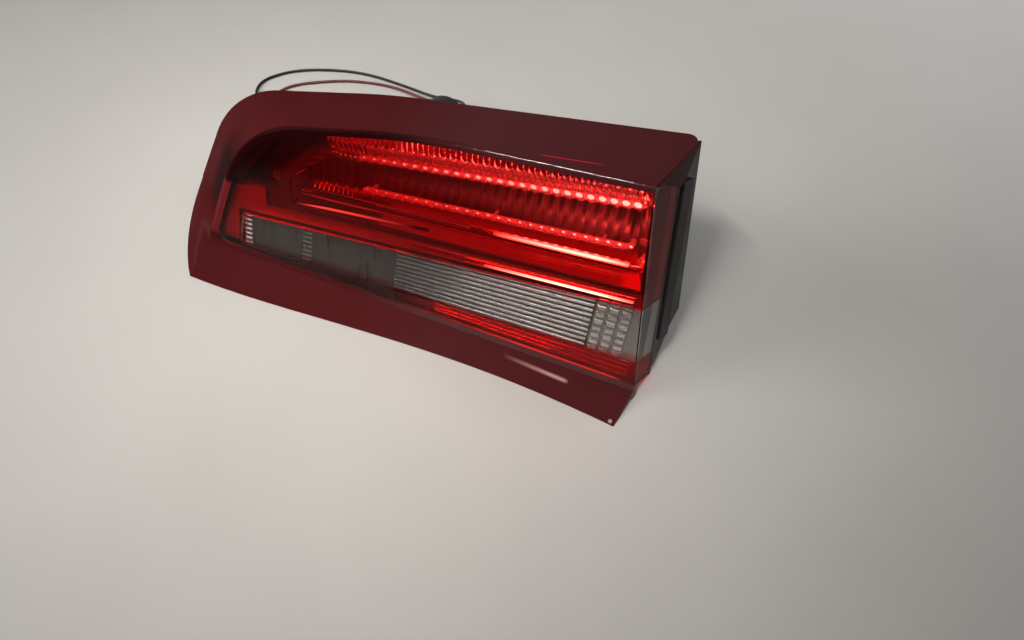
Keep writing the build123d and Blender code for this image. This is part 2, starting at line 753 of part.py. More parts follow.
plug_base = Plane(plug_middle, x_dir=plug_along, z_dir=(0, 0, 1))
plug_front = plug_middle + plug_along * (plug_length / 2)
plug_face = Plane(plug_front, x_dir=plug_across, z_dir=plug_along)
with BuildPart() as wire_connector:
    with BuildSketch(plug_base):
        RectangleRounded(plug_length, plug_width, 0.8)
    extrude(amount=plug_height)
    with BuildSketch(plug_base.offset(plug_height)):
        with Locations((3, 0)):
            Rectangle(10, 4)
    extrude(amount=1.6)
    with BuildSketch(plug_face):
        with Locations((-plug_wires / 2, plug_height / 2), (plug_wires / 2, plug_height / 2)):
            Rectangle(3, 3)
    extrude(amount=-9, mode=Mode.SUBTRACT)
wire_connector.part.label = "wire_connector"
export_step(wire_connector.part, "parts/wire_connector.step")
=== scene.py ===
import bpy
import bmesh
import math
from mathutils import Matrix, Vector


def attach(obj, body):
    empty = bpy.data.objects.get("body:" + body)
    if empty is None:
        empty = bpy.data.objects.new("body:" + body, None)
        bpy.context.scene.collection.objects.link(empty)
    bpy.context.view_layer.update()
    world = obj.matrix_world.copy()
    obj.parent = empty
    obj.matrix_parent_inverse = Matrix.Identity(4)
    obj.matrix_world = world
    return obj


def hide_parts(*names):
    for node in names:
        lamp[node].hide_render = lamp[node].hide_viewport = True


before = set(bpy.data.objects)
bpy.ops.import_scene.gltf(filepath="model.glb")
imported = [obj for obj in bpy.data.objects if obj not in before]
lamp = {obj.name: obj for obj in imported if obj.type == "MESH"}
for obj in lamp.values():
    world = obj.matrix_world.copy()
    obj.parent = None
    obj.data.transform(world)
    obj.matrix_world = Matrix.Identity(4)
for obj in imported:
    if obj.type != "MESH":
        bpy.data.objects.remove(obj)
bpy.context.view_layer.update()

# Camera: held above the lamp and a little to its right, looking down at the lens.
# A wide phone lens, so the near right end looks larger than the far left end.
eye = Vector((0.16503, -0.26256, 0.41002))
gaze = Vector((-0.1935, 0.4777, -0.8569)).normalized()
across = gaze.cross(Vector((0, 0, 1))).normalized()
upward = across.cross(gaze)
camera = bpy.data.objects.new("camera", bpy.data.cameras.new("camera"))
camera.data.sensor_width = 36
camera.data.lens = 28.125
camera.data.clip_start = 0.01
turn = Matrix((across, upward, -gaze)).transposed().to_4x4()
camera.matrix_world = Matrix.Translation(eye) @ turn
bpy.context.scene.collection.objects.link(camera)
bpy.context.scene.camera = camera
bpy.context.scene.view_settings.view_transform = "Standard"


# Table: a plain pale matt top, lit softly from the upper left.
# It is a backdrop and no part of the lamp.
def new_material(name):
    material = bpy.data.materials.new(name)
    material.use_nodes = True
    tree = material.node_tree
    return material, tree, tree.nodes["Principled BSDF"]


def place(tree, kind, **inputs):
    made = tree.nodes.new("ShaderNode" + kind)
    for key, value in inputs.items():
        made.inputs[key.replace("_", " ")].default_value = value
    return made


def ramp(tree, source, stops):
    made = tree.nodes.new("ShaderNodeValToRGB")
    made.color_ramp.elements[0].position, made.color_ramp.elements[0].color = stops[0]
    made.color_ramp.elements[1].position, made.color_ramp.elements[1].color = stops[-1]
    for position, colour in stops[1:-1]:
        made.color_ramp.elements.new(position).color = colour
    tree.links.new(source, made.inputs["Fac"])
    return made.outputs["Color"]


sheet = bmesh.new()
bmesh.ops.create_grid(sheet, x_segments=1, y_segments=1, size=3)
table_mesh = bpy.data.meshes.new("table_top")
sheet.to_mesh(table_mesh)
sheet.free()
table_top = bpy.data.objects.new("table_top", table_mesh)
bpy.context.scene.collection.objects.link(table_top)
table_paint, tree, shader = new_material("table_paint")
mottle = place(tree, "TexNoise", Scale=6.0, Detail=3.0)
spots = tree.nodes.new("ShaderNodeTexCoord")
tree.links.new(spots.outputs["Object"], mottle.inputs["Vector"])
tree.links.new(
    ramp(tree, mottle.outputs["Fac"], [(0.3, (0.56, 0.54, 0.51, 1)), (0.7, (0.6, 0.58, 0.55, 1))]),
    shader.inputs["Base Color"],
)
shader.inputs["Roughness"].default_value = 0.7
shader.inputs["Specular IOR Level"].default_value = 0.2
table_mesh.materials.append(table_paint)

# Light: a broad soft lamp at the front left, two weak panels in front that the trough and the
# band mirror, a narrow lamp overhead that draws the edges, and a lamp behind for the table.
world = bpy.data.worlds.new("room")
bpy.context.scene.world = world
world.use_nodes = True
world.node_tree.nodes["Background"].inputs["Color"].default_value = (0.9, 0.92, 0.96, 1)
world.node_tree.nodes["Background"].inputs["Strength"].default_value = 0.1


def area_light(name, spot, aim, width, height, power, spread, colour=(1, 1, 1)):
    data = bpy.data.lights.new(name, "AREA")
    data.shape = "RECTANGLE"
    data.size, data.size_y = width, height
    data.energy = power
    data.spread = math.radians(spread)
    data.color = colour
    light = bpy.data.objects.new(name, data)
    light.location = spot
    light.rotation_euler = (Vector(aim) - Vector(spot)).to_track_quat("-Z", "Y").to_euler()
    bpy.context.scene.collection.objects.link(light)
    return light


area_light("broad_lamp", (-1.15, -0.4, 0.75), (-0.5, 0.0, 0), 0.7, 0.7, 4.3, 115, (1, 0.985, 0.96))
area_light("front_panel", (-0.1, -0.75, 0.85), (-0.05, 0, 0.05), 0.9, 0.4, 0.13, 90)
area_light("side_panel", (0.12, -0.75, 0.85), (0.1, 0, 0.05), 0.3, 0.4, 0.075, 90)
area_light("ceiling_lamp", (-0.2, -0.30, 1.0), (-0.05, -0.05, 0), 0.34, 0.04, 0.52, 45, (1, 0.97, 0.92))
area_light("back_lamp", (0.4, 0.85, 1.0), (0.3, 0.45, 0), 0.4, 0.4, 1.0, 60)

# Housing: the black rear shell, moulded in filled polypropylene with a fine tooth.
# It carries the lens skirt in a bead of sealant and the studs in its flange.
# The tooth and the uneven gloss are a group that the other mouldings use as well.
grain = bpy.data.node_groups.new("moulded_grain", "ShaderNodeTree")
for label, kind, value in (
    ("Tone Low", "NodeSocketColor", (0.02, 0.02, 0.02, 1)),
    ("Tone High", "NodeSocketColor", (0.03, 0.03, 0.03, 1)),
    ("Tooth", "NodeSocketFloat", 900.0),
    ("Gloss Low", "NodeSocketFloat", 0.4),
    ("Gloss High", "NodeSocketFloat", 0.6),
):
    grain.interface.new_socket(label, in_out="INPUT", socket_type=kind).default_value = value
for label, kind in (
    ("Color", "NodeSocketColor"),
    ("Roughness", "NodeSocketFloat"),
    ("Height", "NodeSocketFloat"),
):
    grain.interface.new_socket(label, in_out="OUTPUT", socket_type=kind)
entry = grain.nodes.new("NodeGroupInput")
leave = grain.nodes.new("NodeGroupOutput")
spots = grain.nodes.new("ShaderNodeTexCoord")
cloud = place(grain, "TexNoise", Scale=38.0, Detail=4.0)
tooth = place(grain, "TexNoise", Detail=2.0)
grain.links.new(spots.outputs["Object"], cloud.inputs["Vector"])
grain.links.new(spots.outputs["Object"], tooth.inputs["Vector"])
grain.links.new(entry.outputs["Tooth"], tooth.inputs["Scale"])
tone = grain.nodes.new("ShaderNodeMix")
tone.data_type = "RGBA"
grain.links.new(cloud.outputs["Fac"], tone.inputs["Factor"])
grain.links.new(entry.outputs["Tone Low"], tone.inputs["A"])
grain.links.new(entry.outputs["Tone High"], tone.inputs["B"])
gloss = grain.nodes.new("ShaderNodeMapRange")
gloss.inputs["From Min"].default_value = 0.3
gloss.inputs["From Max"].default_value = 0.7
grain.links.new(cloud.outputs["Fac"], gloss.inputs["Value"])
grain.links.new(entry.outputs["Gloss Low"], gloss.inputs["To Min"])
grain.links.new(entry.outputs["Gloss High"], gloss.inputs["To Max"])
grain.links.new(tone.outputs["Result"], leave.inputs["Color"])
grain.links.new(gloss.outputs["Result"], leave.inputs["Roughness"])
grain.links.new(tooth.outputs["Fac"], leave.inputs["Height"])


def moulded(name, low, high, tooth_scale, gloss_low, gloss_high, bump):
    material, tree, shader = new_material(name)
    made = tree.nodes.new("ShaderNodeGroup")
    made.node_tree = grain
    made.inputs["Tone Low"].default_value = (*low, 1)
    made.inputs["Tone High"].default_value = (*high, 1)
    made.inputs["Tooth"].default_value = tooth_scale
    made.inputs["Gloss Low"].default_value = gloss_low
    made.inputs["Gloss High"].default_value = gloss_high
    raised = place(tree, "Bump", Strength=bump, Distance=0.0004)
    tree.links.new(made.outputs["Height"], raised.inputs["Height"])
    tree.links.new(made.outputs["Color"], shader.inputs["Base Color"])
    tree.links.new(made.outputs["Roughness"], shader.inputs["Roughness"])
    tree.links.new(raised.outputs["Normal"], shader.inputs["Normal"])
    return material, tree, shader


def dress(node, material):
    lamp[node].data.materials.clear()
    lamp[node].data.materials.append(material)


housing_black, tree, shader = moulded(
    "housing_black", (0.013, 0.0125, 0.012), (0.021, 0.02, 0.019), 900, 0.34, 0.55, 0.25
)
dress("housing", housing_black)

# Inner frame: satin black moulding clipped on the rim of the housing.
# A single pan-head screw holds it at the bottom of its pocket.
bezel_black, tree, shader = moulded(
    "bezel_black", (0.055, 0.05, 0.05), (0.07, 0.064, 0.064), 700, 0.3, 0.45, 0.15
)
dress("bezel", bezel_black)

# Seals: a bead of butyl under the skirt, a foam strip on the back, a rubber strip on the end.
# All are black and dull; the foam has open cells.
sealant_black, tree, shader = moulded(
    "sealant_black", (0.012, 0.012, 0.012), (0.022, 0.022, 0.022), 260, 0.5, 0.7, 0.5
)
dress("lens_sealant", sealant_black)
foam_black, tree, shader = moulded(
    "foam_black", (0.016, 0.016, 0.017), (0.045, 0.045, 0.046), 620, 0.85, 0.97, 1.0
)
dress("rear_gasket", foam_black)
rubber_black, tree, shader = moulded(
    "rubber_black", (0.010, 0.010, 0.010), (0.017, 0.017, 0.017), 500, 0.5, 0.68, 0.3
)
for node in ("end_gasket", "vent_cap", "wire_boot"):
    dress(node, rubber_black)

# Trough of the tail lamp: vacuum-metallised plastic, bright, with a very fine haze.
# The flutes are in the moulding itself; a rounded step runs along its lower slope.
# Places are in metres along the lens: sideways, up the window and into the lamp.
lean = math.radians(26.1)
sideways = Vector((1, 0, 0))
window_corner = Vector((0.0288, -0.0603, -0.017 * math.sin(lean)))
window_up = Vector((0, math.sin(lean), math.cos(lean)))
window_in = Vector((0, math.cos(lean), -math.sin(lean)))

inward = bpy.data.node_groups.new("lamp_plane", "ShaderNodeTree")
inward.interface.new_socket("Direction", in_out="INPUT", socket_type="NodeSocketVector")
inward.interface.new_socket("Near", in_out="INPUT", socket_type="NodeSocketFloat")
inward.interface.new_socket("Far", in_out="INPUT", socket_type="NodeSocketFloat")
inward.interface.new_socket("Mask", in_out="OUTPUT", socket_type="NodeSocketFloat")
entry = inward.nodes.new("NodeGroupInput")
leave = inward.nodes.new("NodeGroupOutput")
spots = inward.nodes.new("ShaderNodeTexCoord")
reach = inward.nodes.new("ShaderNodeVectorMath")
reach.operation = "DOT_PRODUCT"
inward.links.new(spots.outputs["Object"], reach.inputs[0])
inward.links.new(entry.outputs["Direction"], reach.inputs[1])
between = inward.nodes.new("ShaderNodeMapRange")
inward.links.new(reach.outputs["Value"], between.inputs["Value"])
inward.links.new(entry.outputs["Near"], between.inputs["From Min"])
inward.links.new(entry.outputs["Far"], between.inputs["From Max"])
inward.links.new(between.outputs["Result"], leave.inputs["Mask"])


def lamp_mask(tree, direction, near, far):
    made = tree.nodes.new("ShaderNodeGroup")
    made.node_tree = inward
    made.inputs["Direction"].default_value = direction
    made.inputs["Near"].default_value = near + window_corner.dot(direction)
    made.inputs["Far"].default_value = far + window_corner.dot(direction)
    return made.outputs["Mask"]


def both_masks(tree, first, second):
    made = tree.nodes.new("ShaderNodeMath")
    made.operation = "MULTIPLY"
    tree.links.new(first, made.inputs[0])
    tree.links.new(second, made.inputs[1])
    return made.outputs["Value"]


def where(tree, *spans):
    mask = lamp_mask(tree, *spans[0])
    for span in spans[1:]:
        mask = both_masks(tree, mask, lamp_mask(tree, *span))
    return mask


def blend(tree, mask, base, over):
    made = tree.nodes.new("ShaderNodeMix")
    made.data_type = "RGBA"
    made.inputs["B"].default_value = (*over, 1)
    tree.links.new(mask, made.inputs["Factor"])
    tree.links.new(base, made.inputs["A"])
    return made.outputs["Result"]


bright_trough, tree, shader = new_material("bright_trough")
spots = tree.nodes.new("ShaderNodeTexCoord")
haze = place(tree, "TexNoise", Scale=60.0, Detail=3.0)
tree.links.new(spots.outputs["Object"], haze.inputs["Vector"])
polish = ramp(tree, haze.outputs["Fac"], [(0.3, (0.78, 0.76, 0.75, 1)), (0.7, (0.9, 0.89, 0.88, 1))])
# The back wall is painted darker, as painted shade at the back of the trough, and is rougher there.
shaded_back_wall = lamp_mask(tree, window_in, 0.0150, 0.0168)
polish = blend(tree, shaded_back_wall, polish, (0.3, 0.28, 0.28))
# Along its upper edge at the right the trough is darker too.
upper_right = where(tree, (window_up - sideways * 0.09, 0.1125, 0.1135), (sideways, -0.02, 0.06))
tree.links.new(blend(tree, upper_right, polish, (0.4, 0.39, 0.39)), shader.inputs["Base Color"])
mist = ramp(tree, haze.outputs["Fac"], [(0.3, (0.04, 0.04, 0.04, 1)), (0.75, (0.08, 0.08, 0.08, 1))])
tree.links.new(blend(tree, shaded_back_wall, mist, (0.35, 0.35, 0.35)), shader.inputs["Roughness"])
shader.inputs["Metallic"].default_value = 1.0
dress("tail_reflector", bright_trough)


# Ridge and rim of the trough: rounded edges in the same bright moulding, on its lower slope
# and along the front of its left half. Each carries a painted highlight, an emissive line along its crown, on
# top of its own reflection of the lamp.
def in_lamp(u, v, depth):
    return window_corner + Vector((u, 0, 0)) + window_up * v + window_in * depth


def finish_piece(name, mesh, material, smooth=True):
    data = bpy.data.meshes.new(name)
    bmesh.ops.recalc_face_normals(mesh, faces=mesh.faces)
    for face in mesh.faces:
        face.smooth = smooth
    mesh.to_mesh(data)
    mesh.free()
    data.materials.append(material)
    piece = bpy.data.objects.new(name, data)
    bpy.context.scene.collection.objects.link(piece)
    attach(piece, "root")
    return piece


def painted_gleam_metal(name, start, stop, half, tone, span, strength):
    material, tree, shader = new_material(name)
    spots = tree.nodes.new("ShaderNodeTexCoord")
    haze = place(tree, "TexNoise", Scale=60.0, Detail=3.0)
    tree.links.new(spots.outputs["Object"], haze.inputs["Vector"])
    dull, clean = (tone * 0.86,) * 3, (tone,) * 3
    polish = ramp(tree, haze.outputs["Fac"], [(0.3, (*dull, 1)), (0.7, (*clean, 1))])
    tree.links.new(polish, shader.inputs["Base Color"])
    rise, full, fade, gone = span
    slope = (stop[1] - start[1]) / (stop[0] - start[0])
    across_bar = window_up - sideways * slope
    middle = start[1] - slope * start[0]
    # The emissive line along the crown, fading towards both ends, is a painted highlight.
    painted_gleam = where(
        tree,
        (sideways, rise, full),
        (sideways, gone, fade),
        (across_bar, middle - half, middle),
        (across_bar, middle + half, middle),
    )
    painted_line_colour = ramp(tree, painted_gleam, [(0.0, (0, 0, 0, 1)), (1.0, (0.9, 0.85, 0.7, 1))])
    tree.links.new(painted_line_colour, shader.inputs["Emission Color"])
    shader.inputs["Emission Strength"].default_value = strength
    shader.inputs["Metallic"].default_value = 1.0
    shader.inputs["Roughness"].default_value = 0.06
    return material


def ridge(name, start, stop, tilt, width, deep, metal):
    foot, head = in_lamp(*start), in_lamp(*stop)
    face_up = window_up * math.cos(tilt) + window_in * math.sin(tilt)
    face_out = window_up * math.sin(tilt) - window_in * math.cos(tilt)
    crown = 0.14
    profile = []
    for x in (-1, -0.5, 0, 0.5, 1):
        profile.append(foot + face_up * width * x - face_out * (width * x) ** 2 / crown)
    profile += [profile[-1] + window_in * deep, profile[0] + window_in * deep]
    bar = bmesh.new()
    outline = bar.faces.new([bar.verts.new(spot) for spot in profile])
    drawn = bmesh.ops.extrude_face_region(bar, geom=[outline])
    far = [made for made in drawn["geom"] if isinstance(made, bmesh.types.BMVert)]
    bmesh.ops.translate(bar, verts=far, vec=head - foot)
    sharp = [edge for edge in bar.edges if edge.calc_face_angle(0) > 0.3]
    bmesh.ops.split_edges(bar, edges=sharp)
    return finish_piece(name, bar, metal)


ridge_start, ridge_stop = (0.012, 0.0742, 0.0123), (0.102, 0.0823, 0.0123)
ridge_span = (0.025, 0.075, 0.085, 0.108)
ridge_painted_gleam = painted_gleam_metal("ridge_painted_gleam", ridge_start, ridge_stop, 0.00105, 0.9, ridge_span, 50.0)
slope_tilt = math.radians(38)
ridge("trough_ridge", ridge_start, ridge_stop, slope_tilt, 0.0013, 0.0012, ridge_painted_gleam)
rim_start, rim_stop = (-0.096, 0.0560, 0.0095), (-0.012, 0.0654, 0.0100)
rim_span = (-0.099, -0.086, -0.072, -0.02)
rim_painted_gleam = painted_gleam_metal("rim_painted_gleam", rim_start, rim_stop, 0.0009, 0.35, rim_span, 2.2)
ridge("trough_rim", rim_start, rim_stop, slope_tilt, 0.0008, 0.0012, rim_painted_gleam)

# Upper flutes: a row of small ribs under the brow of the lens, in the same bright moulding.
# They stand on the trough's upper edge and end at the lower side of the band.
flute_pitch = 0.0031
flute_count = 58
flute_rise = 0.0012
flute_depth = 0.0068
flute_height = 0.0065
flute_lean = 0.28
flute_left = -0.0765


def flute_foot(u):
    return 0.1030 + (u + 0.075) * 0.142


def brow_edge(u):
    return 0.0005 + min(0.095 + (u + 0.1252) * 0.2364, 0.1194 + (u + 0.022) * 0.0846)


foot = []
brow = bmesh.new()
for i in range(flute_count):
    for part, rise in ((0.0, 0.0), (0.3, flute_rise), (0.7, flute_rise)):
        u = flute_left + (i + part) * flute_pitch
        foot.append(brow.verts.new(in_lamp(u, flute_foot(u), flute_depth - rise)))
ridges = [brow.edges.new(pair) for pair in zip(foot, foot[1:])]
drawn = bmesh.ops.extrude_edge_only(brow, edges=ridges)
for made in drawn["geom"]:
    if isinstance(made, bmesh.types.BMVert):
        u = made.co.x - window_corner.x
        room = min(flute_height, brow_edge(u) - flute_foot(u))
        made.co += window_up * room - window_in * room * flute_lean
finish_piece("upper_flutes", brow, bright_trough, False)


# Light guides: clear acrylic rods with moulded pips that gather the light; the pips are larger towards the
# right end.
# Their glints are painted highlights in emission, brighter towards the right end, and the rods carry a faint
# painted glow that grows the same way.
def painted_glow_acrylic(name, dim, bright, strength):
    material, tree, shader = new_material(name)
    spots = tree.nodes.new("ShaderNodeTexCoord")
    along = tree.nodes.new("ShaderNodeSeparateXYZ")
    tree.links.new(spots.outputs["Object"], along.inputs["Vector"])
    rightward_ramp = tree.nodes.new("ShaderNodeMapRange")
    rightward_ramp.inputs["From Min"].default_value = -0.03
    rightward_ramp.inputs["From Max"].default_value = 0.125
    tree.links.new(along.outputs["X"], rightward_ramp.inputs["Value"])
    tree.links.new(
        ramp(tree, rightward_ramp.outputs["Result"], [(0.0, (*dim, 1)), (1.0, (*bright, 1))]),
        shader.inputs["Emission Color"],
    )
    shader.inputs["Emission Strength"].default_value = strength
    shader.inputs["Base Color"].default_value = (0.6, 0.6, 0.6, 1)
    shader.inputs["Roughness"].default_value = 0.1
    return material


guide_clear = painted_glow_acrylic("guide_clear", (0.25, 0.25, 0.25), (0.7, 0.7, 0.7), 0.3)
dress("upper_light_guide", guide_clear)
dress("lower_light_guide", guide_clear)
pip_painted_glint = painted_glow_acrylic("pip_painted_glint", (0.12, 0.12, 0.12), (1, 1, 0.95), 19.0)
pip_count = 26
pip_depth = 0.0066
pip_turn = Matrix.Rotation(lean, 4, "X") @ Matrix.Diagonal((0.9, 0.5, 1.2, 1))
pips = bmesh.new()
for start, stop, small, large in (
    ((-0.0533, 0.0988), (0.0989, 0.1193), 0.0007, 0.0023),
    ((-0.0502, 0.0807), (0.1012, 0.0961), 0.0004, 0.0010),
):
    for i in range(pip_count):
        along = i / (pip_count - 1)
        u = start[0] + (stop[0] - start[0]) * along
        v = start[1] + (stop[1] - start[1]) * along
        size = small + (large - small) * along
        spot = Matrix.Translation(in_lamp(u, v, pip_depth)) @ pip_turn
        bmesh.ops.create_icosphere(pips, subdivisions=2, radius=size, matrix=spot)
finish_piece("guide_pips", pips, pip_painted_glint)

# Reverse lamp: a metallised panel, and the smoked optic with fine ribs and pillows in it.
# The panel is snapped to the inner frame and the optic is let into the panel.
bright_panel, tree, shader = new_material("bright_panel")
spots = tree.nodes.new("ShaderNodeTexCoord")
haze = place(tree, "TexNoise", Scale=90.0, Detail=3.0)
tree.links.new(spots.outputs["Object"], haze.inputs["Vector"])
satin = ramp(tree, haze.outputs["Fac"], [(0.3, (0.5, 0.49, 0.48, 1)), (0.7, (0.6, 0.59, 0.58, 1))])
raised = lamp_mask(tree, window_in, 0.0049, 0.0046)
satin = blend(tree, raised, satin, (0.9, 0.89, 0.88))
# Below the optic at the left the panel is painted near black: painted shade under the optic.
painted_shade_below_left = where(tree, (window_up - sideways * 0.0435, 0.0262, 0.0252), (sideways, 0.01, -0.03))
tree.links.new(blend(tree, painted_shade_below_left, satin, (0.03, 0.03, 0.03)), shader.inputs["Base Color"])
mist = ramp(tree, haze.outputs["Fac"], [(0.3, (0.42, 0.42, 0.42, 1)), (0.75, (0.5, 0.5, 0.5, 1))])
tree.links.new(blend(tree, raised, mist, (0.05, 0.05, 0.05)), shader.inputs["Roughness"])
shader.inputs["Metallic"].default_value = 1.0
dress("reverse_reflector", bright_panel)
# A rounded fold on the panel above the optic carries a painted highlight too, an emissive line along its
# crown.
fold_start, fold_stop = (0.012, 0.0585, 0.0034), (0.111, 0.0670, 0.0034)
fold_span = (0.025, 0.075, 0.09, 0.113)
fold_painted_gleam = painted_gleam_metal("fold_painted_gleam", fold_start, fold_stop, 0.0009, 0.9, fold_span, 45.0)
ridge("panel_ridge", fold_start, fold_stop, math.radians(39.5), 0.001, 0.0007, fold_painted_gleam)

optic_grey, tree, shader = new_material("optic_grey")
spots = tree.nodes.new("ShaderNodeTexCoord")
stretch = place(tree, "Mapping", Scale=(420, 60, 60))
tree.links.new(spots.outputs["Object"], stretch.inputs["Vector"])
clouded = place(tree, "TexNoise", Scale=1.0, Detail=3.0)
tree.links.new(stretch.outputs["Vector"], clouded.inputs["Vector"])
smoked = ramp(
    tree, clouded.outputs["Fac"], [(0.3, (0.068, 0.055, 0.05, 1)), (0.7, (0.092, 0.075, 0.069, 1))]
)
# The optic is paler at its right end. Its rib fronts and crests are painted lighter, the crests much lighter
# over its right half and at its left end: painted highlights where the ribs catch the lamp.
smoked = blend(tree, lamp_mask(tree, sideways, 0.091, 0.093), smoked, (0.42, 0.38, 0.36))
rib_fronts = lamp_mask(tree, window_in, 0.0049, 0.0047)
smoked = blend(tree, rib_fronts, smoked, (0.2, 0.19, 0.18))
rib_crests = lamp_mask(tree, window_in, 0.0046, 0.0042)
smoked = blend(tree, rib_crests, smoked, (0.24, 0.21, 0.2))
painted_highlight_right = both_masks(tree, rib_crests, lamp_mask(tree, sideways, -0.02, 0.075))
smoked = blend(tree, painted_highlight_right, smoked, (0.7, 0.65, 0.62))
painted_highlight_left_end = both_masks(tree, rib_crests, lamp_mask(tree, sideways, -0.110, -0.118))
tree.links.new(blend(tree, painted_highlight_left_end, smoked, (0.75, 0.7, 0.67)), shader.inputs["Base Color"])
mist = ramp(tree, clouded.outputs["Fac"], [(0.3, (0.26, 0.26, 0.26, 1)), (0.7, (0.34, 0.34, 0.34, 1))])
tree.links.new(blend(tree, rib_crests, mist, (0.07, 0.07, 0.07)), shader.inputs["Roughness"])
shader.inputs["Metallic"].default_value = 0.9
dress("reverse_optic", optic_grey)

# Boards and LED packages: green solder mask over glass cloth, pale packages, black chips.
# The boards are screwed or staked; all of it is sealed inside.
board_green, tree, shader = new_material("board_green")
spots = tree.nodes.new("ShaderNodeTexCoord")
tracks = place(tree, "TexBrick", Scale=160.0, Mortar_Size=0.03)
tracks.inputs["Color1"].default_value = (0.012, 0.07, 0.03, 1)
tracks.inputs["Color2"].default_value = (0.016, 0.085, 0.036, 1)
tracks.inputs["Mortar"].default_value = (0.03, 0.13, 0.05, 1)
tree.links.new(spots.outputs["Object"], tracks.inputs["Vector"])
tree.links.new(tracks.outputs["Color"], shader.inputs["Base Color"])
shader.inputs["Roughness"].default_value = 0.35
for node in ("tail_led_board", "reverse_led_board", "driver_board"):
    dress(node, board_green)
led_white, tree, shader = moulded("led_white", (0.62, 0.6, 0.45), (0.75, 0.73, 0.6), 1500, 0.3, 0.45, 0.1)
dress("tail_leds", led_white)
dress("reverse_leds", led_white)
chip_black, tree, shader = moulded(
    "chip_black", (0.014, 0.014, 0.015), (0.03, 0.03, 0.031), 1800, 0.4, 0.6, 0.2
)
dress("driver_parts", chip_black)

# Screws and studs: zinc-plated steel with the light brushing of handling.
# The studs are moulded into bosses of the flange.
zinc_steel, tree, shader = new_material("zinc_steel")
spots = tree.nodes.new("ShaderNodeTexCoord")
brush = place(tree, "TexNoise", Scale=220.0, Detail=4.0)
tree.links.new(spots.outputs["Object"], brush.inputs["Vector"])
tree.links.new(
    ramp(tree, brush.outputs["Fac"], [(0.3, (0.42, 0.41, 0.38, 1)), (0.7, (0.6, 0.59, 0.56, 1))]),
    shader.inputs["Base Color"],
)
tree.links.new(
    ramp(tree, brush.outputs["Fac"], [(0.3, (0.25, 0.25, 0.25, 1)), (0.75, (0.42, 0.42, 0.42, 1))]),
    shader.inputs["Roughness"],
)
shader.inputs["Metallic"].default_value = 1.0
for node in ("bezel_screw", "board_screws"):
    dress(node, zinc_steel)
stud_steel = zinc_steel.copy()
stud_steel.name = "stud_steel"
tree = stud_steel.node_tree
shader = tree.nodes["Principled BSDF"]
spots = tree.nodes.new("ShaderNodeTexCoord")
turns = tree.nodes.new("ShaderNodeVectorMath")
turns.operation = "DOT_PRODUCT"
turns.inputs[1].default_value = window_in * (2 * math.pi / 0.0008)
tree.links.new(spots.outputs["Object"], turns.inputs[0])
thread = tree.nodes.new("ShaderNodeMath")
thread.operation = "SINE"
tree.links.new(turns.outputs["Value"], thread.inputs[0])
cut = place(tree, "Bump", Strength=0.9, Distance=0.0003)
tree.links.new(thread.outputs["Value"], cut.inputs["Height"])
tree.links.new(cut.outputs["Normal"], shader.inputs["Normal"])
dress("mounting_studs", stud_steel)


# Lens: one three-shot acrylic moulding. The burgundy skirt is the outer shot,
# the red window and the clear strip are let into it.
def lens_clear(name, tint, shade, ior, sheen):
    material, tree, shader = new_material(name)
    shader.inputs["Base Color"].default_value = (*tint, 1)
    shader.inputs["Roughness"].default_value = 0.02
    shader.inputs["IOR"].default_value = ior
    shader.inputs["Transmission Weight"].default_value = 1.0
    spots = tree.nodes.new("ShaderNodeTexCoord")
    flow = place(tree, "TexNoise", Scale=9.0, Detail=2.0)
    tree.links.new(spots.outputs["Object"], flow.inputs["Vector"])
    ripple = place(tree, "Bump", Strength=0.05, Distance=0.001)
    tree.links.new(flow.outputs["Fac"], ripple.inputs["Height"])
    tree.links.new(ripple.outputs["Normal"], shader.inputs["Normal"])
    front = lamp_mask(tree, window_in, 0.0035, 0.0025)
    gloss = ramp(tree, front, [(0.0, (0, 0, 0, 1)), (1.0, (sheen, sheen, sheen, 1))])
    tree.links.new(gloss, shader.inputs["Coat Weight"])
    ray = tree.nodes.new("ShaderNodeLightPath")
    pass_light = place(tree, "BsdfTransparent", Color=(*shade, 1))
    both = tree.nodes.new("ShaderNodeMixShader")
    tree.links.new(ray.outputs["Is Shadow Ray"], both.inputs["Fac"])
    tree.links.new(shader.outputs["BSDF"], both.inputs[1])
    tree.links.new(pass_light.outputs["BSDF"], both.inputs[2])
    tree.links.new(both.outputs["Shader"], tree.nodes["Material Output"].inputs["Surface"])
    return material


dress("window_lens", lens_clear("red_lens", (0.82, 0.035, 0.03), (0.62, 0.12, 0.1), 1.2, 0.2))
dress("reverse_lens", lens_clear("clear_lens", (0.93, 0.93, 0.92), (0.95, 0.95, 0.95), 1.2, 0.0))

# Band of the lens: the burgundy shot, opaque, polished at the right and duller at the left.
# It is darker beside the window and at its left end, redder over the panel, and chipped at the tip of its
# lip. Thin lines on its top, along the sill under the window and along the lip glow in emission: painted
# highlights.
band_lens, tree, shader = new_material("band_lens")
spots = tree.nodes.new("ShaderNodeTexCoord")
flow = place(tree, "TexNoise", Scale=7.0, Detail=3.0)
tree.links.new(spots.outputs["Object"], flow.inputs["Vector"])
wine = ramp(tree, flow.outputs["Fac"], [(0.3, (0.068, 0.0095, 0.0105, 1)), (0.7, (0.080, 0.0112, 0.0122, 1))])
left_end = where(
    tree,
    (window_in, 0.028, 0.015),
    (window_up, 0.028, 0.045),
    (sideways, -0.105, -0.125),
    (window_up, 0.09, 0.07),
)
wine = blend(tree, left_end, wine, (0.02, 0.0045, 0.005))
front_face = where(tree, (window_in, 0.003, 0.0004), (window_up, 0.017, 0.021), (sideways, 0.02, -0.04))
deep = blend(tree, front_face, wine, (0.016, 0.002, 0.003))
over_panel = where(
    tree,
    (window_in, 0.0045, 0.0032),
    (window_up, 0.061, 0.0585),
    (window_up, 0.019, 0.024),
    (sideways, -0.1, -0.12),
)
